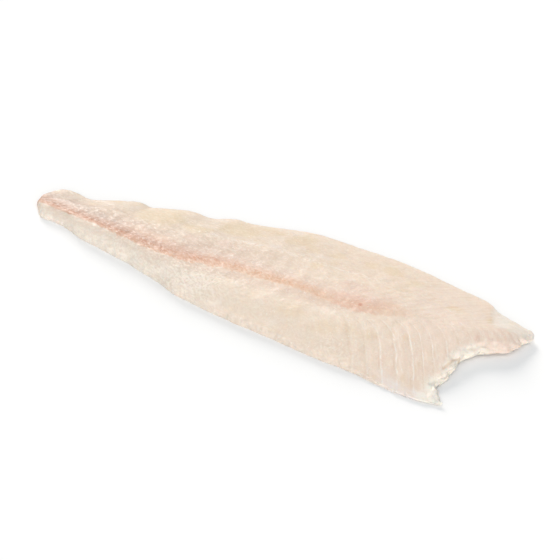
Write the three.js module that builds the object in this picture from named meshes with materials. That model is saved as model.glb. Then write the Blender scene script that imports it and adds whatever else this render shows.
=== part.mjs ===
// A skinless halibut fillet, frozen as it lay: one piece of flesh about 450 mm long, its skinned side up.
// Millimetres, +Z up. The tail cut is at -X, the notched head end at +X, and the wavy fin edge is at +Y.
// Plan points are [x from the tail cut, y across], and the last lines bring the part to its own middle.
import * as THREE from "three";

// ---- Driving dimensions ----
const REST_LEVEL = 0; // the surface that the fillet rests on

// The long edge on the fin side, from the tail cut to the point of the far lobe, scalloped near the tail.
const FAR_EDGE = [
  [3.5, 32], [8, 38], [13, 43], [24, 43], [38, 40], [46, 42], [58, 48], [82, 56.5], [92, 52], [102, 56],
  [129, 64], [148, 61], [168, 70], [182, 69], [208, 74], [240, 80], [280, 77], [315, 74], [345, 68],
  [375, 59], [402.5, 51.5], [412, 44.5], [420, 39.5], [437, 32.5], [448, 28],
];

// The long edge on the other side, from the tail cut to the point of the near lobe.
const NEAR_EDGE = [
  [17, 1], [38, -1], [62, -10.5], [83, -16.5], [105, -22.5], [118, -25], [133, -31], [154, -37.5], [173, -46],
  [190, -50], [215, -55], [245, -60], [275, -64], [310, -70], [345, -74], [368, -79], [395, -82], [419, -80.5],
];

// The tail cut, and the ragged notch at the head end, both from the near corner to the far one.
const TAIL_CUT = [[17, 1], [10.5, 7], [4, 15], [3, 24], [3.5, 32]];
const HEAD_NOTCH = [
  [419, -80.5], [411, -73], [405, -60], [409.5, -53], [411.5, -42.5], [411, -34], [416, -22], [426, -10.5], [442, -2.5],
  [446, 9.5], [450, 19.5], [448, 28],
];

// The ridge of the flesh, which the dark lateral line runs along, in plan.
const BLOODLINE = [
  [0, 17], [20, 13], [50, 5.5], [80, -1], [110, -6], [140, -11.8], [160, -12.5], [200, -10], [240, -10.5],
  [290, -12], [325, -12], [360, -8], [400, -2], [455, 6],
];

// Thickness along the ridge and at the two long edges, and how far the head end lifts off what it lies on:
// [share of the length, mm].
const RIDGE_THICKNESS = [
  [0, 8.5], [0.1, 12], [0.25, 15], [0.5, 18], [0.75, 19], [0.88, 15], [0.95, 11.5], [0.985, 8.5], [1, 4.5],
];
const NEAR_THICKNESS = [[0, 5.5], [0.15, 7], [0.5, 6.5], [0.75, 5.5], [0.88, 2.6], [1, 2.4]];
const FAR_THICKNESS = [[0, 5], [0.1, 3], [0.5, 3.5], [0.85, 4], [1, 3]];
const HEAD_LIFT = [[0, 0], [0.72, 0], [0.85, 1], [0.94, 2.5], [1, 3.5]];
const HEAD_LIFT_ACROSS = [[0, 0.15], [0.2, 0.5], [0.45, 1], [0.8, 1], [1, 0.9]]; // its share from near to far

// How the cross-section falls from the ridge to each edge: 1 is a straight slope, higher is fuller.
const NEAR_FULLNESS = 2.6;
const FAR_FULLNESS = 2.1;
const FLAP = { from: 0.8, share: 0.86, thinning: 0.85 }; // a thin skirt at the near edge of the head end
const EDGE_ROUNDING = 0.3; // how far the rim bulges past its top and bottom, as a share of its thickness
const EDGE_ROUNDING_MOST = 2.2;

// Flakes: the muscle blocks show as chevrons that open towards the head, from the ridge out to both edges.
const FLAKE_SPACING = 11;
// On each side, the depth of the seams between flakes, and from which share of the length to which they grow to it.
const NEAR_FLAKES = { depth: 0.55, from: 0.58, to: 0.78 };
const FAR_FLAKES = { depth: 0.3, from: 0.62, to: 0.84 };
// How far a flake runs to the head for each mm off the ridge: far from it, and how much more within a reach of it.
const NEAR_SWEEP = { far: 0.6, close: 2.4, reach: 9 };
const FAR_SWEEP = { far: 1.05, close: 1, reach: 9 };
const NEAR_BEND_FADES = [335, 415]; // on the near side the bend fades out from one x to the other

// Relief that is not the flakes.
const BLOODLINE_DEPTH = 0.9;
const BLOODLINE_WIDTH = 3.5;
const FIN_BAND_SHARE = 0.46; // where the band of fin muscle begins, on the way from the ridge to the far edge
const FIN_BAND_STEP = 0.7;
const UNDULATION = { height: 0.8, size: 38 };
const FLESH_GRAIN = { height: 0.35, size: 7 };
const SPINE_GROOVE = { depth: 1.6, width: 5, from: 0.06, to: 0.7, fade: 0.08 }; // of the backbone, below
const EDGE_FADE = 0.15; // relief fades out over this share of the way in from a long edge
const RAGGEDNESS = { tail: 0.5, long: 0.5, notch: 1.6, size: 6 };

// Mesh cells. The head end, with its flakes, has finer ones than the rest.
const COLUMNS = 112;
const HEAD_COLUMNS_FROM = 0.52;
const HEAD_COLUMN_SHARE = 0.65; // this share of the columns lies past that point
const NEAR_ROWS = 13; // from the near edge to the ridge
const FAR_ROWS = 25; // from the ridge to the far edge
const UNDERSIDE_COLUMNS = 38;
const UNDERSIDE_ROWS = 6; // on each side of the ridge

// ---- Small tools ----
const lerp = THREE.MathUtils.lerp;
const smooth = THREE.MathUtils.smoothstep;
const clamp = THREE.MathUtils.clamp;

// A smooth function through pairs of numbers, which never swings past them.
function through(pairs) {
  const slopes = pairs.map((p, k) => {
    if (k === 0 || k === pairs.length - 1) return 0;
    const before = (p[1] - pairs[k - 1][1]) / (p[0] - pairs[k - 1][0]);
    const after = (pairs[k + 1][1] - p[1]) / (pairs[k + 1][0] - p[0]);
    return before * after > 0 ? (2 * before * after) / (before + after) : 0;
  });
  return (x) => {
    const k = clamp(pairs.findIndex((p) => p[0] > x) - 1, 0, pairs.length - 2);
    const start = x >= pairs.at(-1)[0] ? pairs.length - 2 : k;
    const [[x0, y0], [x1, y1]] = pairs.slice(start, start + 2);
    const u = clamp((x - x0) / (x1 - x0), 0, 1);
    const rise = y1 - y0 - slopes[start] * (x1 - x0);
    const bend = (slopes[start + 1] - slopes[start]) * (x1 - x0);
    return y0 + slopes[start] * (x1 - x0) * u + (3 * rise - bend) * u ** 2 + (bend - 2 * rise) * u ** 3;
  };
}

// A plan curve through points, read by its share of length.
function edge(points) {
  const curve = new THREE.SplineCurve(points.map(([x, y]) => new THREE.Vector2(x, y)));
  return (share) => curve.getPointAt(clamp(share, 0, 1));
}

// Smooth noise from -1 to 1 that repeats each run: hashed values on a unit grid.
function hash(i, j) {
  const h = Math.sin(i * 127.1 + j * 311.7) * 43758.5453;
  return 2 * (h - Math.floor(h)) - 1;
}

function noise(x, y) {
  const i = Math.floor(x);
  const j = Math.floor(y);
  const u = smooth(x - i, 0, 1);
  const v = smooth(y - j, 0, 1);
  return lerp(lerp(hash(i, j), hash(i + 1, j), u), lerp(hash(i, j + 1), hash(i + 1, j + 1), u), v);
}

// ---- Plan: a patch between the four edges, s from tail to head and t from the near edge to the far one ----
const nearEdge = edge(NEAR_EDGE);
const farEdge = edge(FAR_EDGE);
const tailCut = edge(TAIL_CUT);
const headNotch = edge(HEAD_NOTCH);

function plan(s, t) {
  const mix = (a, b, share) => a.clone().lerp(b, share);
  const along = mix(nearEdge(s), farEdge(s), t);
  const across = mix(tailCut(t), headNotch(t), s);
  const corners = mix(mix(nearEdge(0), nearEdge(1), s), mix(farEdge(0), farEdge(1), s), t);
  return along.add(across).sub(corners);
}

const bloodline = through(BLOODLINE);

// The share of the way from the near edge to the far one at which the ridge lies, found by halving.
function ridgeShare(s) {
  let low = 0;
  let high = 1;
  for (let step = 0; step < 20; step++) {
    const t = (low + high) / 2;
    const p = plan(s, t);
    if (p.y < bloodline(p.x)) low = t;
    else high = t;
  }
  return (low + high) / 2;
}

// A place on the fillet: s along it, and side across it, from -1 on the near edge over 0 on the ridge to 1 on
// the far edge. off is its distance from the ridge, and inside fades from 1 to 0 close to the long edges.
function place(s, side) {
  const ridge = ridgeShare(s);
  const t = side < 0 ? ridge * (1 + side) : lerp(ridge, 1, side);
  const p = plan(s, t);
  const inside = smooth(1 - Math.abs(side), 0, EDGE_FADE);
  return { s, side, t, x: p.x, y: p.y, off: p.y - bloodline(p.x), inside };
}

// ---- Heights ----
const ridgeThickness = through(RIDGE_THICKNESS);
const nearThickness = through(NEAR_THICKNESS);
const farThickness = through(FAR_THICKNESS);
const headLift = through(HEAD_LIFT);
const headLiftAcross = through(HEAD_LIFT_ACROSS);

function thickness({ s, side }) {
  const rim = side < 0 ? nearThickness(s) : farThickness(s);
  const flap = smooth(-side, FLAP.share, FLAP.share + 0.06) * smooth(s, FLAP.from, FLAP.from + 0.06);
  const fullness = 1 - Math.abs(side) ** (side < 0 ? NEAR_FULLNESS : FAR_FULLNESS);
  return lerp(rim, Math.max(ridgeThickness(s), rim), fullness * (1 - FLAP.thinning * flap));
}

// Where a place lies in the run of flakes: whole numbers are the seams between them.
function flakePhase({ x, off }) {
  const isNear = off < 0;
  const { far, close, reach } = isNear ? NEAR_SWEEP : FAR_SWEEP;
  const d = Math.abs(off);
  const bend = close * reach * (1 - Math.exp(-d / reach)) * (isNear ? 1 - smooth(x, ...NEAR_BEND_FADES) : 1);
  return (x - far * d - bend) / FLAKE_SPACING;
}

// A shallow valley, 1 deep on its middle line.
const valley = (distance, width) => Math.exp(-((distance / width) ** 2));

function relief(at) {
  const { s, side, x, y, off, inside } = at;
  const seam = Math.cos(Math.PI * flakePhase(at)) ** 4;
  const { depth, from, to } = side < 0 ? NEAR_FLAKES : FAR_FLAKES;
  const flakes = -depth * seam * smooth(s, from, to) * smooth(Math.abs(off), 0, 8);
  const groove = -BLOODLINE_DEPTH * valley(off, BLOODLINE_WIDTH) * (1 - smooth(s, 0.45, 0.8));
  const band = -FIN_BAND_STEP * smooth(side, FIN_BAND_SHARE - 0.06, FIN_BAND_SHARE + 0.06);
  const swell = UNDULATION.height * noise(x / UNDULATION.size, y / UNDULATION.size);
  const grain = FLESH_GRAIN.height * noise(x / FLESH_GRAIN.size, 40 + y / FLESH_GRAIN.size);
  return groove + (flakes + band + swell + grain) * inside;
}

function undersideLevel({ s, t }) {
  return REST_LEVEL + headLift(s) * headLiftAcross(t);
}

function topPoint(at) {
  return new THREE.Vector3(at.x, at.y, undersideLevel(at) + thickness(at) + relief(at));
}

function undersidePoint(at) {
  const { from, to, fade, depth, width } = SPINE_GROOVE;
  const along = smooth(at.s, from, from + fade) * (1 - smooth(at.s, to - fade, to));
  return new THREE.Vector3(at.x, at.y, undersideLevel(at) + depth * valley(at.off, width) * along);
}

// ---- Mesh ----
// Positions and triangles, gathered piece by piece.
const positions = [];
const triangles = [];

function addPoint(p) {
  positions.push(p.x, p.y, p.z);
  return positions.length / 3 - 1;
}

function pointAt(index) {
  return new THREE.Vector3().fromArray(positions, 3 * index);
}

// A grid of points over the patch, each a place with its index; up tells which way its faces look. Each cell is
// split on the slant that the flakes have on its side of the ridge.
function addSheet(columns, rows, point, up) {
  const grid = columns.map((s) => rows.map((side) => {
    const at = place(s, side);
    return { ...at, index: addPoint(point(at)) };
  }));
  for (let i = 0; i + 1 < grid.length; i++) {
    for (let j = 0; j + 1 < grid[i].length; j++) {
      const corners = [grid[i][j], grid[i + 1][j], grid[i + 1][j + 1], grid[i][j + 1]];
      const [a, b, c, d] = corners.map((g) => g.index);
      const cell = grid[i][j].side < 0 ? [a, b, d, b, c, d] : [a, b, c, a, c, d];
      triangles.push(...(up ? cell : cell.reverse()));
    }
  }
  return grid;
}

// The outer loop of a grid, with how far round each point is: the near edge is 0 to 1, the notch 1 to 2, the
// far edge 2 to 3 and the tail 3 to 4.
function outerLoop(grid) {
  const near = grid.map((row) => ({ ...row[0], way: row[0].s }));
  const notch = grid.at(-1).map((g) => ({ ...g, way: 1 + g.t }));
  const far = grid.map((row) => ({ ...row.at(-1), way: 3 - row.at(-1).s })).reverse();
  const tail = grid[0].map((g) => ({ ...g, way: 4 - g.t })).reverse();
  return [near, notch, far, tail].flatMap((side) => side.slice(0, -1));
}

// How ragged the rim is at a share of the way round the loop.
function raggedness(way) {
  const side = Math.floor(way);
  if (side === 1) return RAGGEDNESS.notch;
  return side === 3 ? RAGGEDNESS.tail : RAGGEDNESS.long;
}

// The loop round the rim at half its thickness, pushed out so that the edge is round and uneven.
function addRimLoop(top) {
  return top.map((at, k) => {
    const p = pointAt(at.index);
    const before = pointAt(top[(k + top.length - 1) % top.length].index);
    const after = pointAt(top[(k + 1) % top.length].index);
    const outward = new THREE.Vector2(after.y - before.y, before.x - after.x).normalize();
    const low = undersideLevel(at);
    const thick = p.z - low;
    const uneven = raggedness(at.way) * noise(p.x / RAGGEDNESS.size, p.y / RAGGEDNESS.size);
    const out = Math.min(EDGE_ROUNDING * thick, EDGE_ROUNDING_MOST) + uneven;
    const rim = new THREE.Vector3(p.x + out * outward.x, p.y + out * outward.y, low + 0.5 * thick);
    return { ...at, index: addPoint(rim) };
  });
}

// Joins two loops, the upper one first, that may have different numbers of points.
function stitch(upper, lower) {
  let i = 0;
  let j = 0;
  const wayOf = (loop, k) => (k < loop.length ? loop[k].way : 4);
  while (i < upper.length || j < lower.length) {
    const a = upper[i % upper.length].index;
    const b = lower[j % lower.length].index;
    const stepUpper = j >= lower.length || (i < upper.length && wayOf(upper, i + 1) <= wayOf(lower, j + 1));
    if (stepUpper) {
      triangles.push(a, b, upper[(i + 1) % upper.length].index);
      i++;
    } else {
      triangles.push(a, b, lower[(j + 1) % lower.length].index);
      j++;
    }
  }
}

const evenly = (count) => Array.from({ length: count + 1 }, (_, k) => k / count);

// Shares of the length, closer together past HEAD_COLUMNS_FROM.
function columnShares(count) {
  const before = 1 - HEAD_COLUMN_SHARE;
  return evenly(count).map((k) =>
    k < before
      ? (k / before) * HEAD_COLUMNS_FROM
      : lerp(HEAD_COLUMNS_FROM, 1, (k - before) / HEAD_COLUMN_SHARE),
  );
}

// Places across, from -1 to 1, with a row along the ridge.
function rowSides(nearRows, farRows) {
  return [...evenly(nearRows).map((k) => k - 1), ...evenly(farRows).slice(1)];
}

function filletGeometry() {
  const top = addSheet(columnShares(COLUMNS), rowSides(NEAR_ROWS, FAR_ROWS), topPoint, true);
  const underRows = rowSides(UNDERSIDE_ROWS, UNDERSIDE_ROWS);
  const under = addSheet(columnShares(UNDERSIDE_COLUMNS), underRows, undersidePoint, false);
  const topLoop = outerLoop(top);
  const rimLoop = addRimLoop(topLoop);
  stitch(topLoop, rimLoop);
  stitch(rimLoop, outerLoop(under));
  const geometry = new THREE.BufferGeometry();
  geometry.setAttribute("position", new THREE.Float32BufferAttribute(positions, 3));
  geometry.setIndex(triangles);
  geometry.computeVertexNormals();
  return geometry;
}

const flesh = new THREE.MeshStandardMaterial({ color: 0xeee0cf, roughness: 0.55, metalness: 0 });
const fillet = new THREE.Mesh(filletGeometry(), flesh);
fillet.name = "fillet";

// The origin is under the middle of the part, on the surface that it rests on.
const box = new THREE.Box3().setFromObject(fillet);
const middle = box.getCenter(new THREE.Vector3());
fillet.position.set(-middle.x, -middle.y, -box.min.z);

const part = new THREE.Group();
part.add(fillet);
export default part;
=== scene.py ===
"""A frozen halibut fillet on a pale floor.

The CAD solid is made smooth and fine. Its relief, its colours and its frost are worked out from where
each point lies in the fillet's plan, above all from how far it is from the blood line.
"""
import math

import bmesh
import bpy
import numpy as np
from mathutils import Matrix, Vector
from mathutils.kdtree import KDTree
from mathutils.noise import noise


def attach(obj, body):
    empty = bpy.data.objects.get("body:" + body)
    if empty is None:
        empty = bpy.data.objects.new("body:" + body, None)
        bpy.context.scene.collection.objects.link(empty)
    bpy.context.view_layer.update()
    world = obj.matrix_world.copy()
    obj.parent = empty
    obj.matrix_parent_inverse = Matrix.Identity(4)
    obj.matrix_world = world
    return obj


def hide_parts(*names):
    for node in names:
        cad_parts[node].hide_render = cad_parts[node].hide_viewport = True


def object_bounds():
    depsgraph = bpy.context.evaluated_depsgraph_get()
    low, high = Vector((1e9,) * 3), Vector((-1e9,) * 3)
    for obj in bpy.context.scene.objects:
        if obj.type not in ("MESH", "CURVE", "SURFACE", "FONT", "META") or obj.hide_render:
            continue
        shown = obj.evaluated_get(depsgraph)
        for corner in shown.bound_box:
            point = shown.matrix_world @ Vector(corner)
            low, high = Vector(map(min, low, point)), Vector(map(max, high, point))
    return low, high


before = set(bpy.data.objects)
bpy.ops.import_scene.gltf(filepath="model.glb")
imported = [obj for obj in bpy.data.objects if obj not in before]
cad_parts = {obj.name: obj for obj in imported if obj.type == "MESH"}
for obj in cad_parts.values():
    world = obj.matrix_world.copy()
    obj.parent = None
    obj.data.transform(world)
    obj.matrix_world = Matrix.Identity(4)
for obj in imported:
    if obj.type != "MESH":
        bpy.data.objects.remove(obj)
cad_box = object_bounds()

# ---- The fillet's plan, in millimetres: along from the tail cut, across from its long axis ----
TAIL_X = -226.43  # where along is 0 in the frame
AXIS_Y = 0.69  # where across is 0 in the frame
# how the parts of the outline are told apart
TAIL_CUT = {"along": 14, "across": 40}  # it ends here
LONG_SIDES = {"along": 10, "far": 20, "near": 5}  # they start here
NOTCH = {"along": 403, "near": -79, "far": 28}  # it starts here, and lies between these
RIM_STEP = 0.5  # how far apart the points on a measured line are
WELD_DISTANCE = 0.00001  # in metres
SUBDIVISIONS = 2

# the blood line: across by along, then its centre off that, its widths and its strength, all by along
BLOODLINE = [
    (0, 17), (20, 13), (50, 5.5), (80, -1), (110, -6), (140, -11.8), (160, -12.5), (200, -10),
    (240, -10.5), (290, -12), (325, -12), (360, -8), (400, -2), (455, 6),
]
BLOOD_CENTRE = [
    (0, 0.6), (60, 0.4), (100, 0), (140, -1), (175, -2), (205, 0.5), (225, -0.8), (260, -0.5),
    (300, -2.4), (325, -1), (350, 1.5), (370, 1),
]
BLOOD_FAR_WIDTH = [
    (0, 5), (60, 5), (90, 6), (115, 7.5), (150, 8.5), (180, 7), (260, 6), (290, 6), (315, 10),
    (345, 9.5), (362, 4),
]
BLOOD_NEAR_WIDTH = [
    (0, 5), (60, 4.8), (95, 5.6), (130, 7), (150, 7.5), (175, 8.5), (240, 7.5), (270, 5.5),
    (295, 8), (325, 10), (345, 9), (362, 3),
]
BLOOD_STRENGTH = [
    (0, 0.9), (80, 1), (155, 1), (185, 0.8), (260, 0.7), (295, 0.55), (315, 0.85), (335, 0.65),
    (352, 0.5), (366, 0),
]

# where the pale seams between the flakes leave the blood line, and the curve that each then follows
SEAM_STARTS = [309, 320, 331, 341, 352, 359, 366, 376, 386, 395, 403, 411, 418, 425, 432, 439, 447]
SEAM_LEAVES = [(331, 15), (366, 2), (400, -8), (440, -12)]
SEAM_CURVE = {"slope": 0.45, "bend": 13.0, "reach": 8.0}
# the fine stripes on the far side of the head end
STRIPE_SPACING = 7.5
STRIPE_CURVE = {"slope": 1.05, "bend": 9.0, "reach": 9.0}

# soft spots of the flesh: along, across, half length, half width, strength
BLOOD_SPOTS = [
    (322.5, -15, 2.2, 2.4, 1), (315, -12, 1.8, 3, 0.5), (306, -19, 3, 3, 0.45), (149, -15.5, 5, 2, 0.5),
]
TAN_SPOTS = [
    (52, 34, 13, 8, 0.5), (66, 46, 7, 7, 0.5), (10, 34, 5, 9, 0.5), (115, 38, 26, 20, 1),
    (152, 29, 16, 9, 1), (185, 50, 22, 17, 1), (208, 62, 18, 10, 0.8), (238, 58, 14, 16, 1),
    (254, 44, 7, 9, 0.8), (276, 46, 9, 7, 0.7), (268, 19, 6, 8, 0.9), (303, 50, 12, 8, 0.7),
    (322, 48, 12, 9, 0.9), (347, 40, 12, 9, 0.6), (387, 20, 9, 8, 0.5), (417, 26, 2.2, 13, 1),
    (275, -42, 18, 9, 0.7), (310, -48, 11, 7, 1), (326, -43, 9, 7, 0.8), (342, -42, 8, 6, 0.9),
    (357, -34, 4, 5, 0.9), (368, -33, 4, 6, 0.8), (383, -70, 2.5, 7, 1), (388, -56, 2.5, 8, 0.9),
    (362, -75, 3, 3, 0.8), (240, -38, 7, 9, 0.5),
]
PALE_SPOTS = [
    (27, 32, 9, 9, 0.45), (86, 42, 6, 10, 0.5), (137, 54, 5, 8, 0.5), (187, -40, 17, 7, 1),
    (160, -34, 15, 6, 0.6), (125, -24, 14, 4, 0.4), (212, -52, 10, 3, 0.6), (264, -57, 9, 4, 0.5),
    (225, 31, 9, 7, 0.6), (170, 26, 8, 7, 0.5), (262, 36, 14, 7, 0.5), (300, -33, 13, 6, 0.5),
    (60, 38, 12, 6, 0.5), (320, 26, 16, 9, 0.35), (424, 33, 6, 14, 1), (405, 30, 8, 8, 0.3),
    (333, 8, 7, 3, 0.3), (372, 6, 6, 9, 0.4), (423, -4, 2, 5, 0.8), (430, -3, 1.5, 5, 0.5),
    (405, -60, 4, 16, 0.5), (222, 2, 14, 5, 0.3),
]
PINK_SPOTS = [
    (343, -60, 6, 7, 0.3), (310, 6, 18, 7, 0.9), (338, 4, 9, 5, 0.6), (188, 14, 7, 9, 1),
    (207, 14, 9, 8, 0.5), (155, 11, 13, 6, 0.5), (441, -2, 2.2, 2.2, 1), (417, -7, 2.2, 6, 0.9),
    (427, -4, 1.5, 5, 0.6), (434, -3, 1.5, 5, 0.7), (430, 12, 10, 6, 0.4), (30, 20, 14, 4, 0.8),
    (100, 8, 20, 6, 0.5), (420, 8, 10, 8, 0.3), (362, -63, 4, 6, 0.5),
]
COARSE_CRYSTALS = [(188, -38, 24, 9, 1)]
NEAR_CRYSTALS = [(320, -64, 18, 6, 1)]

CRACK = [(413, -30), (409, -35), (407.5, -41), (405.5, -48)]  # where the torn end has split
CRACK_DEPTH = 0.7
CRACK_WIDTH = 0.8
MEMBRANE_EDGE = [(16, 420), (30, 415), (44, 411)]  # across and along; the flesh beyond is peeled thin
MEMBRANE_STEP = 0.4
NEAR_TRIM = 1.6  # how far the near edge stands in from the solid

# ---- Relief, in millimetres: each layer of noise has a height, a size and a seed ----
BROAD_WAVES = (0.13, 9, 2)
COARSE_FROST = (0.26, 3.6, 3)
FINE_FROST = (0.38, 2.1, 4)
SIDE_WAVES = (0.15, 8, 7)
TORN_LUMPS = [(2.4, 8, 5), (1.8, 3.8, 6), (1.0, 2, 8)]
EDGE_LUMPS = [(0.8, 6, 9), (0.6, 2.6, 10)]
NOTCH_BITES = [(3.2, 7, 11), (2.2, 3.2, 12)]
NOTCH_BITE_MEAN = 0.7
FLAKE_SWELL = 0.22
FURROW_FILL = 0.45  # how far the blood line fills up the furrow that it lies in
FURROW_WIDTH = 3.5

# ---- Display colours ----
SHADES = {
    "far flesh": (238, 218, 198),
    "near flesh": (241, 223, 204),
    "far tail": (227, 208, 187),
    "near tail": (241, 230, 215),
    "head end": (240, 220, 203),
    "beside blood": (223, 197, 179),
    # the flesh's own darker colour on the far side of the blood line at the tail, deepened with painted shade
    # where the key light falls
    "far of blood at tail with painted shade": (206, 178, 161),
    "dull far tail": (213, 187, 166),
    "tan patch": (232, 209, 184),
    "lilac patch": (233, 212, 198),
    "cream patch": (244, 229, 211),
    "far tan spot": (230, 207, 172),
    "near tan spot": (236, 214, 187),
    "far pale spot": (238, 222, 210),
    "near pale spot": (250, 235, 221),
    "pink spot": (229, 201, 184),
    "fascia": (247, 233, 220),
    "stain at tail": (218, 173, 145),
    "stain": (230, 191, 161),
    "stain at middle": (229, 188, 165),
    "stain at head": (231, 196, 168),
    "core at tail": (201, 138, 106),
    "core": (210, 153, 114),
    "thin line": (199, 132, 98),
    "blood spot": (206, 138, 112),
    "halo at tail": (219, 190, 176),
    "halo": (236, 208, 197),
    "beside seam": (228, 203, 180),
    "seam": (252, 243, 232),
    "between seams": (246, 233, 221),
    "pale head streak": (248, 235, 221),
    "dark head streak": (227, 204, 185),
    "stripe": (248, 233, 217),
    # painted shade on the near edge's rolled rim
    "painted shade at near rim": (228, 213, 199),
    # a thin grey line of painted shade along the far rim
    "painted shade at far rim": (205, 196, 186),
    "far edge": (247, 229, 210),
    "tail cut": (228, 190, 170),
    "dark lobe stripe": (231, 206, 188),
    "pale lobe stripe": (246, 232, 218),
    "pink lobe stripe": (231, 200, 180),
    # pale torn flesh, lightened further with painted light where it shades itself
    "torn flesh": (252, 243, 229),
    "torn strokes": (248, 237, 221),
    # painted shade on the far lobe's wall, which the lights brighten
    "painted shade on lobe wall": (234, 214, 200),
    "notch rim": (239, 231, 217),
    # painted light on the notch's underside, which lies in shade
    "painted light under notch": (244, 235, 219),
    # painted shade in the crack
    "crack": (222, 196, 168),
    "membrane": (243, 236, 226),
    "flap": (241, 232, 226),
    # painted light on the near tip, which shades itself
    "painted light at near tip": (250, 243, 231),
    "near tail flank": (246, 238, 224),
    "beyond line": (222, 184, 154),
    # painted highlights and painted shade of the frost's ridges on the near flank
    "painted highlight on flank": (254, 245, 229),
    "painted shade on flank": (224, 206, 187),
    # white frost with painted highlight, and painted shade between its strokes
    "frost with painted highlight": (253, 243, 229),
    "painted shade among frost": (223, 204, 185),
    # painted glints of the ice
    "painted_glint": (254, 248, 240),
    "dark grain": (228, 208, 191),
}
# the colour that painted shade mixes towards
BLACK = (0.0, 0.0, 0.0, 1.0)
SHOWN_SHARE = 0.903  # the base colour's share of the colour that shows

# ---- Light, as shares of what lights the open floor ----
WORLD_LIGHT = 0.375
WORLD_COLOUR = (0.89, 0.97, 1.0, 1.0)
KEY_LIGHT = {"azimuth": -42, "elevation": 21.5, "spread": 26, "share": 0.325, "colour": (1.0, 0.93, 0.87)}
FILL_LIGHT = {"azimuth": 150, "elevation": 32, "spread": 75, "share": 0.425, "colour": (1.0, 0.98, 0.98)}
LIGHT_DISTANCE = 2.0
FLOOR_HALF_SIZE = 40.0
FLOOR_DROP = 0.00003  # the floor lies this far under the fillet
FLOOR_COLOUR = (0.94, 0.94, 0.94, 1.0)

# ---- Camera, at the photograph's viewing angle: degrees and metres, and millimetres for lens and sensor ----
AZIMUTH = 27.0
ELEVATION = 35.0
DISTANCE = 1.3
TARGET = Vector((0.0138, 0.01069, 0.0))
LENS = 103.2
SENSOR = 36.0


# ---- Numbers for every point ----
def smooth(x, low, high):
    """A smooth step of numbers, from 0 at low to 1 at high."""
    u = np.clip((x - low) / (high - low), 0, 1)
    return u * u * (3 - 2 * u)


def between(x, rise, drop):
    """1 between a rise and a drop, and 0 outside them."""
    return smooth(x, *rise) * (1 - smooth(x, *drop))


def hump(x, width):
    """A rounded hump of numbers, 1 where x is 0."""
    return np.exp(-((x / width) ** 2))


def look_up(table, x):
    """The values of a table of pairs at x, along straight lines between its entries."""
    return np.interp(x, *zip(*table))


def link(ob):
    bpy.context.scene.collection.objects.link(ob)
    return ob


# ---- Mesh: the CAD solid made smooth and fine ----
def welded(solid):
    """The solid's mesh as a bmesh, with the points that coincide joined."""
    bm = bmesh.new()
    bm.from_mesh(solid.data)
    bmesh.ops.remove_doubles(bm, verts=bm.verts, dist=WELD_DISTANCE)
    return bm


def fine_mesh(solid):
    """A piece with the solid's mesh, in quads where it can be, and subdivided."""
    bm = welded(solid)
    bmesh.ops.join_triangles(
        bm, faces=bm.faces, angle_face_threshold=math.radians(50), angle_shape_threshold=math.radians(60)
    )
    for face in bm.faces:
        face.smooth = True
    mesh = bpy.data.meshes.new("fillet_flesh")
    bm.to_mesh(mesh)
    bm.free()
    ob = link(bpy.data.objects.new("fillet_flesh", mesh))
    subdivision = ob.modifiers.new("subdivision", "SUBSURF")
    subdivision.levels = SUBDIVISIONS
    subdivision.render_levels = SUBDIVISIONS
    bpy.context.view_layer.update()
    fine = bpy.data.meshes.new_from_object(ob.evaluated_get(bpy.context.evaluated_depsgraph_get()))
    ob.modifiers.clear()
    ob.data = fine
    return ob


def divided(a, b):
    """Points from a to just before b, a step apart."""
    steps = max(1, int(math.dist(a, b) / RIM_STEP))
    return [tuple(p + (q - p) * k / steps for p, q in zip(a, b)) for k in range(steps)]


def rim_points(solid):
    """Points along the solid's outline from above, in millimetres of the plan."""
    bm = welded(solid)
    bm.normal_update()
    points = []
    for edge in bm.edges:
        faces = edge.link_faces
        if len(faces) == 2 and faces[0].normal.z * faces[1].normal.z <= 0:
            points += divided(edge.verts[0].co * 1000, edge.verts[1].co * 1000)
    bm.free()
    return [(x - TAIL_X, y - AXIS_Y) for x, y, _ in points]


def nearest(points, places):
    """For each place in the plan, the nearest of the points."""
    tree = KDTree(len(points))
    for k, (x, y) in enumerate(points):
        tree.insert((x, y, 0), k)
    tree.balance()
    return np.array([tree.find((x, y, 0))[0][:2] for x, y in places])


def distances(points, places):
    """The distance in the plan from each place to the nearest of the points."""
    return np.linalg.norm(nearest(points, places) - places, axis=1)


def line_distances(corners, places):
    """The distance in the plan from each place to a line through the corners."""
    points = [p for a, b in zip(corners, corners[1:]) for p in divided(a, b)]
    return distances(points + [corners[-1]], places)


def noise_at(points, size, seed, stretch=(1, 1, 1)):
    """Smooth noise from about -1 to 1 at each point, with features of that size in millimetres."""
    shift = Vector((seed * 17.3, seed * 5.1, seed * 9.7))
    scaled = points / np.array([size * s for s in stretch])
    return np.array([noise(Vector(p) + shift) for p in scaled])


def layer(points, height_size_seed, stretch=(1, 1, 1)):
    """One layer of relief at each point, in millimetres."""
    height, size, seed = height_size_seed
    return height * noise_at(points, size, seed, stretch)


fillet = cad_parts["fillet"]
flesh = fine_mesh(fillet)
mesh = flesh.data
count = len(mesh.vertices)
co = np.zeros(count * 3)
mesh.vertices.foreach_get("co", co)
co = co.reshape(-1, 3) * 1000
normals = np.zeros(count * 3)
mesh.vertex_normals.foreach_get("vector", normals)
normals = normals.reshape(-1, 3)
facing_up = normals[:, 2]

along = co[:, 0] - TAIL_X
across = co[:, 1] - AXIS_Y
plan = np.stack([along, across], axis=1)
off = across - look_up(BLOODLINE, along)  # how far a point is to the far side of the blood line

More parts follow.
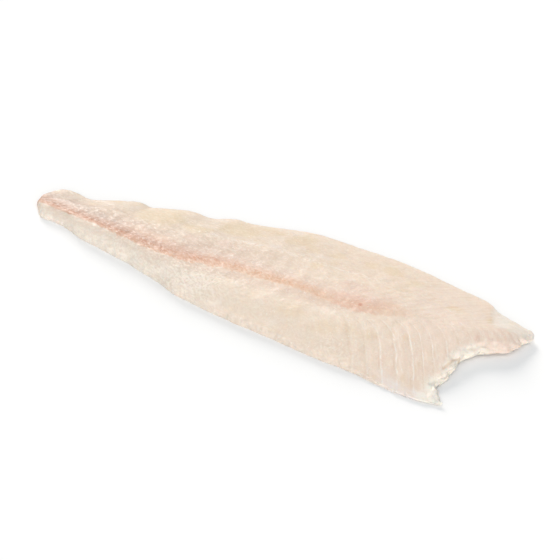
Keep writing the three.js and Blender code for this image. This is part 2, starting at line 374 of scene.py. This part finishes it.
rim = rim_points(fillet)
notch = [(x, y) for x, y in rim if x > NOTCH["along"] and NOTCH["near"] < y < NOTCH["far"]]
tail_cut = [(x, y) for x, y in rim if x < TAIL_CUT["along"] and y < TAIL_CUT["across"]]
sides = [(x, y) for x, y in rim if x >= LONG_SIDES["along"]]
far_side = [(x, y) for x, y in sides if y > LONG_SIDES["far"]]
near_side = [(x, y) for x, y in sides if y < LONG_SIDES["near"] and (x, y) not in notch]
to_notch = distances(notch, plan)
to_tail = distances(tail_cut, plan)
to_far = distances(far_side, plan)
to_near = distances(near_side, plan)
rim_place = nearest(rim, plan)
to_rim = np.linalg.norm(rim_place - plan, axis=1)
to_crack = line_distances(CRACK, plan)
membrane = smooth(along - look_up(MEMBRANE_EDGE, across), -2.2, 2.2) * smooth(across, 8, 18)


def spots(places):
    """How far inside the soft spots each point is, from 0 to 1."""
    out = np.zeros(count)
    for x, y, half_length, half_width, strength in places:
        out = np.maximum(out, strength * hump(along - x, half_length) * hump(across - y, half_width))
    return out


def curve(distance, slope, bend, reach):
    """How far a seam has run along at a distance from its start: it bends first, and then runs straight."""
    return slope * distance + bend * (1 - np.exp(-distance / reach))


def seams_passed():
    """How many seams lie between the tail and each point, whole numbers being on a seam."""
    seams = []
    for start in SEAM_STARTS:
        below = np.maximum(0, -off - look_up(SEAM_LEAVES, start))
        seams.append(start + curve(below, **SEAM_CURVE))
    passed = sum(np.clip((along - a) / (b - a), 0, 1) for a, b in zip(seams, seams[1:]))
    return passed - np.clip((seams[0] - along) / 20, 0, 0.5)


def stripes_passed():
    """How many of the far side's stripes lie between the tail and each point."""
    return (along - curve(np.abs(off), **STRIPE_CURVE)) / STRIPE_SPACING


def frost_strength():
    """How strongly the frost shows at each point."""
    on_line = hump(off - 2, 10) * between(along, (60, 130), (220, 300))
    near_tail = smooth(-off, 3, 12) * (1 - smooth(along, 180, 250))
    strength = 0.38 + 0.4 * on_line + 0.25 * near_tail + 0.7 * icy + 0.5 * spots(NEAR_CRYSTALS)
    strength *= 1 - 0.5 * smooth(along, 320, 380)
    strength *= 1 - 0.4 * smooth(off, 6, 16) * (1 - smooth(along, 100, 180))
    strength *= 1 - 0.5 * between(off, (1, 6), (20, 28)) * (1 - smooth(along, 150, 210))
    return strength


def across_blood():
    """Where each point lies across the blood line: 0 on its centre, 1 and -1 at its far and near borders."""
    from_centre = off - look_up(BLOOD_CENTRE, along)
    far_width = look_up(BLOOD_FAR_WIDTH, along)
    near_width = look_up(BLOOD_NEAR_WIDTH, along)
    return from_centre / np.where(from_centre > 0, far_width, near_width)


icy = spots(COARSE_CRYSTALS)
seam_shown = smooth(-off - look_up(SEAM_LEAVES, along), 0, 5) * smooth(along, 306, 320)
stripe_shown = smooth(off, 4, 14) * between(along, (330, 370), (425, 440))


# ---- Relief ----
def top_relief():
    """How far each point of the top moves out for its frost, flakes, blood line, crack and membrane."""
    near_flank = smooth(-off, 3, 12) * between(along, (60, 130), (290, 350))
    coarse = 0.5 + 0.4 * near_flank * (1 - 0.6 * smooth(along, 200, 260)) - 0.2 * smooth(off, 0, 10)
    coarse = np.maximum(coarse, 0.5 * hump(off, 9) * between(along, (40, 110), (260, 330)))
    coarse *= 1 - 0.35 * smooth(-off, 2, 8) * smooth(along, 170, 210)
    height = layer(co, BROAD_WAVES)
    height += coarse * layer(co, COARSE_FROST, (1.6, 1, 1))
    height += (coarse + 0.6 * icy) * layer(co, FINE_FROST, (1.4, 1, 1))
    height += FLAKE_SWELL * seam_shown * np.sin(math.pi * (seams_passed() % 1)) ** 2
    height += FURROW_FILL * hump(off, FURROW_WIDTH) * (1 - smooth(along, 220, 320))
    height -= CRACK_DEPTH * hump(to_crack, CRACK_WIDTH)
    height -= MEMBRANE_STEP * membrane * smooth(to_rim, 0.5, 5)
    return height


def edge_relief():
    """How far each point near the outline moves out for the torn lumps of the notch and the uneven edge."""
    torn = (1 - smooth(to_notch, 1, 11)) * smooth(facing_up, -0.6, 0.3)
    torn *= 0.4 + 0.6 * smooth(-across, 5, 25)
    edge = (1 - smooth(to_rim, 0.5, 4)) * smooth(facing_up, -0.8, 0.0) * (1 - 0.65 * smooth(across, 10, 25))
    height = torn * sum(layer(co, lumps) for lumps in TORN_LUMPS)
    return height + edge * sum(layer(co, lumps) for lumps in EDGE_LUMPS)


def foot():
    """How each point at the foot of the edge moves: out in the plan, and down except at the head end."""
    low = (1 - smooth(facing_up, -0.45, 0.2)) * (1 - smooth(to_rim, 2.6, 5.0))
    out = (rim_place - plan) * (0.6 * low)[:, None]
    down = 0.75 * low * (1 - smooth(along, 290, 345))
    return np.stack([out[:, 0], out[:, 1], -down * co[:, 2]], axis=1)


def inward():
    """How far each point moves in from the outline: the trim of the near edge and the bites in the notch."""
    trim = NEAR_TRIM * (1 - smooth(to_near, 0, 10)) * between(along, (60, 100), (350, 400))
    level = co * np.array([1, 1, 0])  # the same at every height
    bite = NOTCH_BITE_MEAN + sum(layer(level, bites) for bites in NOTCH_BITES)
    at_notch = (1 - smooth(to_notch, 1, 8)) * between(across, (-74, -62), (10, 22))
    return trim + at_notch * np.maximum(0, bite)


def dress():
    """Moves the mesh's points to their relief, inside the CAD model's box."""
    top = smooth(facing_up, 0.0, 0.35)
    height = top * smooth(to_rim, 0.3, 4.0) * top_relief() + edge_relief() + (1 - top) * layer(co, SIDE_WAVES)
    moved = co + normals * height[:, None] + foot()
    moved[:, :2] -= normals[:, :2] * inward()[:, None]
    low, high = (np.array(corner) * 1000 for corner in cad_box)
    moved = np.clip(moved, low, high)
    mesh.vertices.foreach_set("co", (moved / 1000).astype(np.float32).ravel())
    mesh.update()


dress()

MEASURES = {
    "along": along,
    "across": across,
    "off": off,
    "to_notch": to_notch,
    "to_near": to_near,
    "to_far": to_far,
    "to_tail": to_tail,
    "to_crack": to_crack,
    "seams": seams_passed(),
    "seam_shown": seam_shown,
    "stripes": stripes_passed(),
    "stripe_shown": stripe_shown,
    "membrane": membrane,
    "under": (1 - smooth(facing_up, -0.75, -0.2)) * (1 - smooth(to_notch, 1.5, 4)),
    "blood": look_up(BLOOD_STRENGTH, along),
    "from_line": across_blood(),
    "blood_spots": spots(BLOOD_SPOTS),
    "tan": spots(TAN_SPOTS),
    "pale": spots(PALE_SPOTS),
    "pink": spots(PINK_SPOTS),
    "frost": frost_strength(),
}
for name, values in MEASURES.items():
    mesh.attributes.new(name, "FLOAT", "POINT").data.foreach_set("value", values.astype(np.float32))

# ---- Material: its nodes ----
material = bpy.data.materials.new("frozen_flesh")
material.use_nodes = True
tree = material.node_tree
tree.nodes.clear()


def node(kind, **values):
    made = tree.nodes.new(kind)
    for key, value in values.items():
        setattr(made, key, value)
    return made


def set_or_join(value, socket):
    if isinstance(value, (int, float, tuple, list)):
        socket.default_value = value
    else:
        tree.links.new(value, socket)


def measure(name):
    return node("ShaderNodeAttribute", attribute_name=name).outputs["Fac"]


def calc(operation, *values):
    made = node("ShaderNodeMath", operation=operation)
    for socket, value in zip(made.inputs, values):
        set_or_join(value, socket)
    return made.outputs[0]


def ramp(value, low, high, to_low=0.0, to_high=1.0):
    """A smooth step of a value, from low to high, which may be the smaller one."""
    made = node("ShaderNodeMapRange", interpolation_type="SMOOTHSTEP")
    numbers = {"Value": value, "From Min": low, "From Max": high, "To Min": to_low, "To Max": to_high}
    for name, number in numbers.items():
        set_or_join(number, made.inputs[name])
    return made.outputs["Result"]


def fall(value, low, high):
    """1 up to low, and 0 from high."""
    return ramp(value, low, high, 1.0, 0.0)


def times(*values):
    out = values[0]
    for value in values[1:]:
        out = calc("MULTIPLY", out, value)
    return out


def less(value):
    return calc("SUBTRACT", 1.0, value)


def hill(value, centre, width):
    """1 where the value is at the centre, and 0 a width away from it."""
    return fall(calc("ABSOLUTE", calc("SUBTRACT", value, centre)), 0.0, width)


def span(value, rise, drop):
    """1 between a rise and a drop, and 0 outside them."""
    return times(ramp(value, *rise), fall(value, *drop))


def from_whole(value):
    """How far a value is from the nearest whole number, below it negative."""
    return calc("SUBTRACT", value, calc("ROUND", value))


def wander(value, by, amount):
    """A value that strays from itself by a noise."""
    return calc("ADD", value, calc("MULTIPLY", calc("SUBTRACT", by, 0.5), amount))


def either(first, second, share):
    """A number between two, by a share."""
    made = node("ShaderNodeMix", data_type="FLOAT")
    for socket, value in zip(made.inputs, (share, None, first, second)):
        if value is not None:
            set_or_join(value, socket)
    return made.outputs[0]


def grains(size, detail=2.0, roughness=0.5, stretch=1.0, turn=0.0, shift=0.0):
    """Noise from 0 to 1, its features that size in millimetres, stretched and then turned about Z."""
    mapping = node("ShaderNodeMapping", vector_type="TEXTURE")
    mapping.inputs["Location"].default_value = (shift, shift, shift)
    mapping.inputs["Rotation"].default_value = (0, 0, math.radians(turn))
    mapping.inputs["Scale"].default_value = (size * stretch / 1000, size / 1000, size / 1000)
    tree.links.new(coordinates, mapping.inputs["Vector"])
    made = node("ShaderNodeTexNoise")
    made.inputs["Scale"].default_value = 1.0
    made.inputs["Detail"].default_value = detail
    made.inputs["Roughness"].default_value = roughness
    tree.links.new(mapping.outputs["Vector"], made.inputs["Vector"])
    return made.outputs["Fac"]


def shade(name):
    """The base colour, as linear light, that shows as this shade in the light of the scene."""
    return [SHOWN_SHARE * ((c / 255 + 0.055) / 1.055) ** 2.4 for c in SHADES[name]] + [1.0]


def tint(base, colour, share):
    """The base colour, mixed towards another by a share."""
    made = node("ShaderNodeMix", data_type="RGBA")
    set_or_join(share, made.inputs[0])
    set_or_join(base, made.inputs[6])
    set_or_join(colour, made.inputs[7])
    return made.outputs[2]


def paint(base, name, *shares):
    """The base colour, mixed towards a shade by the product of the shares."""
    return tint(base, shade(name), times(*shares))


def paint_shade(base, *shares):
    """The base colour, less a share of itself, which is the product of the shares: painted shade."""
    return tint(base, BLACK, times(*shares))


coordinates = node("ShaderNodeTexCoord").outputs["Object"]
m = {name: measure(name) for name in MEASURES}
along_, across_, off_ = m["along"], m["across"], m["off"]

# noises: patches of flesh, grain, and strokes of frost that lie one way or another
patch = grains(11, 3, 0.55, 1.6, 25)
other_patch = grains(7, 3, 0.55, 1.4, -20, 0.04)
grain = grains(2.4, 2, 0.6, 1.5, -30)
down_strokes = grains(1.5, 1, 0.5, 2.4, -33)
level_strokes = grains(1.5, 1, 0.5, 2.4, 8, 0.01)
up_strokes = grains(1.5, 1, 0.5, 2.4, 62, 0.02)
strokes = either(down_strokes, level_strokes, ramp(patch, 0.46, 0.54))
strokes = either(strokes, up_strokes, ramp(other_patch, 0.5, 0.58))
slanted = grains(2.0, 2, 0.6, 3.2, -38, 0.03)
upright = grains(2.0, 2, 0.5, 6.0, -63, 0.05)
far_streaks = grains(2.6, 2, 0.5, 5.0, 50, 0.05)
# where the painted glints fall
painted_glint = grains(1.3, 1, 0.5, shift=0.011)

# large zones
near_half = fall(off_, -5, 5)
far_half = less(near_half)
tail_end = fall(along_, 150, 230)
head_end = ramp(along_, 330, 380)
in_notch = ramp(across_, -6, -16)  # the notch's middle, and not the far lobe

# the seams, which the colours and the bump both use
to_seam = from_whole(wander(m["seams"], patch, 0.28))
seam = times(fall(calc("ABSOLUTE", to_seam), 0.02, 0.08), m["seam_shown"])
seam = times(seam, ramp(other_patch, 0.4, 0.58, 0.2, 1.0))
seam = times(seam, ramp(off_, -14, -28, 0.5, 1.0), ramp(m["seams"], 1.2, 2.0, 0.3, 1.0))


# ---- Material: its colours ----
def plain_flesh():
    """The halves and the ends, the duller flesh beside the blood line, and the darker flesh on the far side
    of it at the tail, deepened with painted shade.
    """
    colour = tint(shade("far flesh"), shade("near flesh"), near_half)
    colour = paint(colour, "far tail", far_half, tail_end)
    colour = paint(colour, "near tail", near_half, tail_end)
    colour = paint(colour, "head end", head_end)
    leaning = calc("SUBTRACT", along_, calc("MULTIPLY", off_, 5.0))
    beside = times(span(off_, (-24, -12), (9, 16)), ramp(leaning, 117.5, 187.5, 0.6, 1.0))
    colour = paint(colour, "beside blood", beside, fall(along_, 290, 340), ramp(off_, -10, 2, 0.8, 0.55))
    # darker flesh on the far side of the blood line at the tail, partly painted shade against the key light
    far_of_blood = span(off_, (-2, 3), (14, 24))
    colour = paint(colour, "far of blood at tail with painted shade", far_of_blood, ramp(along_, 170, 240, 0.7, 0.0))
    further = span(off_, (5, 13), (26, 38))
    return paint(colour, "dull far tail", further, span(along_, (25, 45), (215, 260)), 0.53)


def patches(colour):
    """The tan, the lilac and the cream patches that the flesh is made up of."""
    colour = paint(colour, "tan patch", ramp(patch, 0.5, 0.68), ramp(off_, -15, 15, 0.2, 0.6))
    colour = paint(colour, "lilac patch", ramp(other_patch, 0.52, 0.68), ramp(off_, -15, 10, 0.2, 0.5))
    return paint(colour, "cream patch", ramp(other_patch, 0.46, 0.32), ramp(off_, -15, 10, 0.25, 0.45))


def soft_spots(colour):
    """The tan, pale and pink spots, and the white skin between the two muscles of the far side."""
    tan = ramp(wander(m["tan"], patch, 1.1), 0.15, 0.75)
    tan_shade = tint(shade("far tan spot"), shade("near tan spot"), near_half)
    colour = tint(colour, tan_shade, times(tan, ramp(along_, 200, 250, 0.75, 0.55)))
    pale = ramp(wander(m["pale"], other_patch, 0.5), 0.15, 0.7)
    pale_shade = tint(shade("far pale spot"), shade("near pale spot"), near_half)
    colour = tint(colour, pale_shade, times(pale, 0.8))
    pink = ramp(wander(m["pink"], other_patch, 0.6), 0.15, 0.7)
    colour = paint(colour, "pink spot", pink, 0.7)
    fascia = times(hill(wander(off_, other_patch, 8.0), 36, 4), span(along_, (120, 170), (300, 345)))
    return paint(colour, "fascia", fascia, ramp(strokes, 0.45, 0.6), 0.7)


ragged = wander(wander(m["from_line"], other_patch, 0.7), slanted, ramp(along_, 60, 130, 0.35, 0.8))
stain = times(span(ragged, (-1.25, -0.85), (0.5, 1.45)), m["blood"])


def blood_line(colour):
    """A stain with ragged edges, a core of darker streaks, a thin dark line at the tail, and a halo."""
    stain_shade = tint(shade("stain at tail"), shade("stain"), ramp(along_, 160, 230))
    stain_shade = paint(stain_shade, "stain at middle", ramp(along_, 285, 310))
    stain_shade = paint(stain_shade, "stain at head", ramp(along_, 330, 350))
    colour = tint(colour, stain_shade, times(stain, ramp(slanted, 0.34, 0.5, 0.82, 1.0)))
    dark_streaks = ramp(wander(slanted, patch, 0.5), 0.44, 0.62)
    core = times(span(ragged, (-1.0, -0.5), (0.3, 0.8)), m["blood"])
    core = times(core, ramp(dark_streaks, 0.0, 1.0, 0.45, 1.0))
    core = times(core, ramp(along_, 285, 310, 1.0, 0.3), ramp(along_, 80, 125, 0.78, 1.0))
    core_shade = tint(shade("core at tail"), shade("core"), ramp(along_, 190, 240))
    colour = tint(colour, core_shade, times(core, 0.75))
    thin = times(hill(wander(m["from_line"], other_patch, 0.4), -0.25, 0.3), fall(along_, 95, 130))
    colour = paint(colour, "thin line", thin, 0.62)
    colour = paint(colour, "blood spot", ramp(wander(m["blood_spots"], slanted, 0.4), 0.3, 0.9), 0.8)
    halo = times(span(m["from_line"], (-0.2, 0.4), (1.0, 2.4)), m["blood"], ramp(strokes, 0.4, 0.6, 0.6, 1.0))
    halo_shade = tint(shade("halo at tail"), shade("halo"), ramp(along_, 150, 220))
    return tint(colour, halo_shade, times(halo, 0.45))


def flakes(colour):
    """Thin pale seams between the flakes, tan flesh beside them, and the head end's streaks and stripes."""
    beside = times(hill(to_seam, -0.16, 0.1), m["seam_shown"], ramp(patch, 0.46, 0.58, 0.2, 1.0))
    colour = paint(colour, "beside seam", beside, 0.5)
    colour = paint(colour, "seam", seam, ramp(along_, 375, 400, 0.9, 0.65))
    between_seams = times(hill(to_seam, 0.3, 0.14), m["seam_shown"], ramp(upright, 0.5, 0.6))
    colour = paint(colour, "between seams", between_seams, 0.35)
    streaks = either(far_streaks, upright, near_half)
    colour = paint(colour, "pale head streak", ramp(streaks, 0.52, 0.68), head_end, 0.24)
    colour = paint(colour, "dark head streak", ramp(streaks, 0.48, 0.32), head_end, 0.2)
    stripe = fall(calc("ABSOLUTE", from_whole(m["stripes"])), 0.05, 0.2)
    stripe = times(stripe, m["stripe_shown"], ramp(patch, 0.4, 0.56, 0.3, 1.0))
    return paint(colour, "stripe", stripe, 0.45)


def rims(colour):
    """The near and the far edge, with painted shade along both rims, and the tail cut."""
    # painted shade along the near rim
    colour = paint(colour, "painted shade at near rim", fall(m["to_near"], 1.0, 3.5), ramp(along_, 345, 375, 0.5, 0.1))
    # painted shade along the far rim
    colour = paint(colour, "painted shade at far rim", fall(m["to_far"], 0.5, 2.0), 0.85)
    colour = paint(colour, "far edge", fall(m["to_far"], 1.5, 20), ramp(along_, 60, 120), 0.4)
    return paint(colour, "tail cut", fall(m["to_tail"], 4, 20), span(off_, (-2, 1), (5, 14)), 0.6)


def head_cut(colour):
    """The striped far lobe, the torn flesh of the notch with painted light, painted shade on the lobe's wall
    and in the crack, painted light under the notch and on the near tip, the membrane and the near flap.
    """
    lobe = times(fall(m["to_notch"], 9, 22), ramp(across_, -14, -4))
    colour = paint(colour, "dark lobe stripe", lobe, ramp(upright, 0.52, 0.6), 0.35)
    colour = paint(colour, "pale lobe stripe", lobe, ramp(upright, 0.48, 0.4), 0.4)
    mid_flake = ramp(calc("ABSOLUTE", to_seam), 0.2, 0.42)
    colour = paint(colour, "pink lobe stripe", lobe, mid_flake, ramp(along_, 404, 414), 0.45)
    torn = times(fall(wander(m["to_notch"], patch, 8.0), 3.0, 10.0), fall(across_, -16, -8))
    # the torn flesh's pale colour, with painted light against its own shade
    colour = paint(colour, "torn flesh", torn, ramp(other_patch, 0.35, 0.5, 0.6, 0.9))
    colour = paint(colour, "torn strokes", torn, ramp(strokes, 0.5, 0.6), 0.4)
    # painted shade on the far lobe's wall
    colour = paint(colour, "painted shade on lobe wall", fall(m["to_notch"], 3, 8), less(in_notch), 0.55)
    colour = paint(colour, "notch rim", fall(m["to_notch"], 0.8, 3.0), in_notch, 0.5)
    # painted light on the underside of the notch
    colour = paint(colour, "painted light under notch", m["under"], 0.7)
    # painted shade in the crack
    colour = paint(colour, "crack", fall(m["to_crack"], 0.3, 1.6), 0.6)
    colour = paint(colour, "membrane", m["membrane"], 0.6)
    flap = times(fall(wander(m["to_near"], patch, 14.0), 5, 11), ramp(along_, 352, 385))
    colour = paint(colour, "flap", flap, ramp(other_patch, 0.35, 0.6, 0.5, 0.95))
    # painted light on the near tip
    tip = times(ramp(across_, -56, -66), ramp(along_, 394, 404))
    return paint(colour, "painted light at near tip", tip, 0.8)


def tail_half(colour):
    """The nearly white near side of the tail, and painted shade on the near bank and the far side of the
    blood line there, where the key light falls strongly.
    """
    colour = paint(colour, "near tail flank", ramp(off_, -6, -14), fall(along_, 100, 175), 0.5)
    # painted shade on the near bank of the blood line, which faces the key light
    colour = paint_shade(colour, span(off_, (-8, -4), (1, 5)), fall(along_, 130, 190), 0.13)
    # painted shade over the far half of the tail, which the low key light brightens
    painted_shade_far_tail = times(ramp(off_, -3, 4), fall(along_, 210, 330), ramp(off_, 64, 84, 1.0, 0.6))
    painted_shade_far_tail = times(painted_shade_far_tail, either(ramp(off_, 10, 24, 0.5, 1.0), 1.0, fall(along_, 110, 160)))
    colour = paint_shade(colour, painted_shade_far_tail, 0.105)
    # more painted shade on the far side of the line at the tail end
    colour = paint_shade(colour, span(off_, (-3, 4), (14, 24)), fall(along_, 60, 120), 0.07)
    beyond_line = span(off_, (4, 7), (11, 16))
    # painted shade just beyond the line at the tail end
    colour = paint_shade(colour, beyond_line, fall(along_, 70, 110), 0.08)
    return paint(colour, "beyond line", beyond_line, span(along_, (85, 115), (140, 165)), 0.3)


def frost(colour):
    """Short pale strokes of frost and painted highlight, dark strokes of painted shade, white specks of
    painted glint, and dark grains.
    """
    flank = times(ramp(off_, -8, -18), span(along_, (70, 110), (195, 240)))
    # painted highlights and painted shade of lit ridges on the near flank
    colour = paint(colour, "painted highlight on flank", ramp(slanted, 0.52, 0.62), flank, 0.4)
    colour = paint(colour, "painted shade on flank", ramp(slanted, 0.46, 0.36), flank, 0.35)
    pale = ramp(strokes, 0.5, 0.64)
    dark = ramp(strokes, 0.5, 0.36)
    # frost strokes: pale ones with painted highlight, dark ones painted shade
    colour = paint(colour, "frost with painted highlight", pale, m["frost"], ramp(stain, 0.2, 0.8, 0.5, 0.25))
    colour = paint(colour, "painted shade among frost", dark, m["frost"], ramp(stain, 0.2, 0.8, 0.4, 0.2))
    # white specks of painted glint
    colour = paint(colour, "painted_glint", ramp(painted_glint, 0.68, 0.76), 0.6)
    return paint(colour, "dark grain", ramp(grain, 0.45, 0.28), 0.25)


colour = plain_flesh()
for part in (patches, soft_spots, blood_line, flakes, rims, head_cut, tail_half, frost):
    colour = part(colour)

# ---- Material: its shader ----
shader = node("ShaderNodeBsdfPrincipled")
set_or_join(colour, shader.inputs["Base Color"])
shader.inputs["Subsurface Weight"].default_value = 0.25
shader.inputs["Subsurface Radius"].default_value = (1.0, 0.6, 0.4)
shader.inputs["Subsurface Scale"].default_value = 0.002
shader.inputs["Specular IOR Level"].default_value = 0.35
set_or_join(ramp(grain, 0.3, 0.7, 0.45, 0.62), shader.inputs["Roughness"])

bump = node("ShaderNodeBump")
bump.inputs["Strength"].default_value = 0.36
bump.inputs["Distance"].default_value = 0.0005
relief_height = calc("ADD", times(grain, 0.4), calc("ADD", times(strokes, 1.1), times(seam, 0.5)))
set_or_join(relief_height, bump.inputs["Height"])
tree.links.new(bump.outputs["Normal"], shader.inputs["Normal"])
output = node("ShaderNodeOutputMaterial")
tree.links.new(shader.outputs["BSDF"], output.inputs["Surface"])

mesh.materials.clear()
mesh.materials.append(material)
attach(flesh, "root")
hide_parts("fillet")

# ---- Floor ----
corners = [(x * FLOOR_HALF_SIZE, y * FLOOR_HALF_SIZE, 0) for x, y in ((-1, -1), (1, -1), (1, 1), (-1, 1))]
floor_mesh = bpy.data.meshes.new("floor")
floor_mesh.from_pydata(corners, [], [(0, 1, 2, 3)])
floor = link(bpy.data.objects.new("floor", floor_mesh))
floor.location.z = -FLOOR_DROP
floor_material = bpy.data.materials.new("floor_white")
floor_material.use_nodes = True
floor_shader = floor_material.node_tree.nodes["Principled BSDF"]
floor_shader.inputs["Base Color"].default_value = FLOOR_COLOUR
floor_shader.inputs["Roughness"].default_value = 0.9
floor_shader.inputs["Specular IOR Level"].default_value = 0.0
floor_mesh.materials.append(floor_material)


# ---- Light and camera ----
def direction(azimuth, elevation):
    """The direction to a place in the sky, its azimuth in degrees clockwise from +Y."""
    side, height = math.radians(azimuth), math.radians(elevation)
    return Vector((math.cos(height) * math.sin(side), math.cos(height) * math.cos(side), math.sin(height)))


def face_from(ob, towards, distance, target):
    """Places an object away from the target, and turns it to face it."""
    ob.location = target + towards * distance
    ob.rotation_mode = "QUATERNION"
    ob.rotation_quaternion = towards.to_track_quat("Z", "Y")


def distant_light(name, azimuth, elevation, spread, share, colour):
    """A soft distant light that gives the open floor its share of light."""
    data = bpy.data.lights.new(name, "SUN")
    data.angle = math.radians(spread)
    data.color = colour
    data.energy = share * math.pi / math.sin(math.radians(elevation))
    light = link(bpy.data.objects.new(name, data))
    face_from(light, direction(azimuth, elevation), LIGHT_DISTANCE, Vector())


world = bpy.data.worlds.new("studio")
bpy.context.scene.world = world
world.use_nodes = True
world.node_tree.nodes["Background"].inputs["Color"].default_value = WORLD_COLOUR
world.node_tree.nodes["Background"].inputs["Strength"].default_value = WORLD_LIGHT
distant_light("key", **KEY_LIGHT)
distant_light("fill", **FILL_LIGHT)

camera_data = bpy.data.cameras.new("camera")
camera_data.lens = LENS
camera_data.sensor_width = SENSOR
camera = link(bpy.data.objects.new("camera", camera_data))
face_from(camera, direction(180 - AZIMUTH, ELEVATION), DISTANCE, TARGET)
bpy.context.scene.camera = camera

view = bpy.context.scene.view_settings
view.view_transform = "Standard"
view.look = "None"
view.exposure = 0
view.gamma = 1
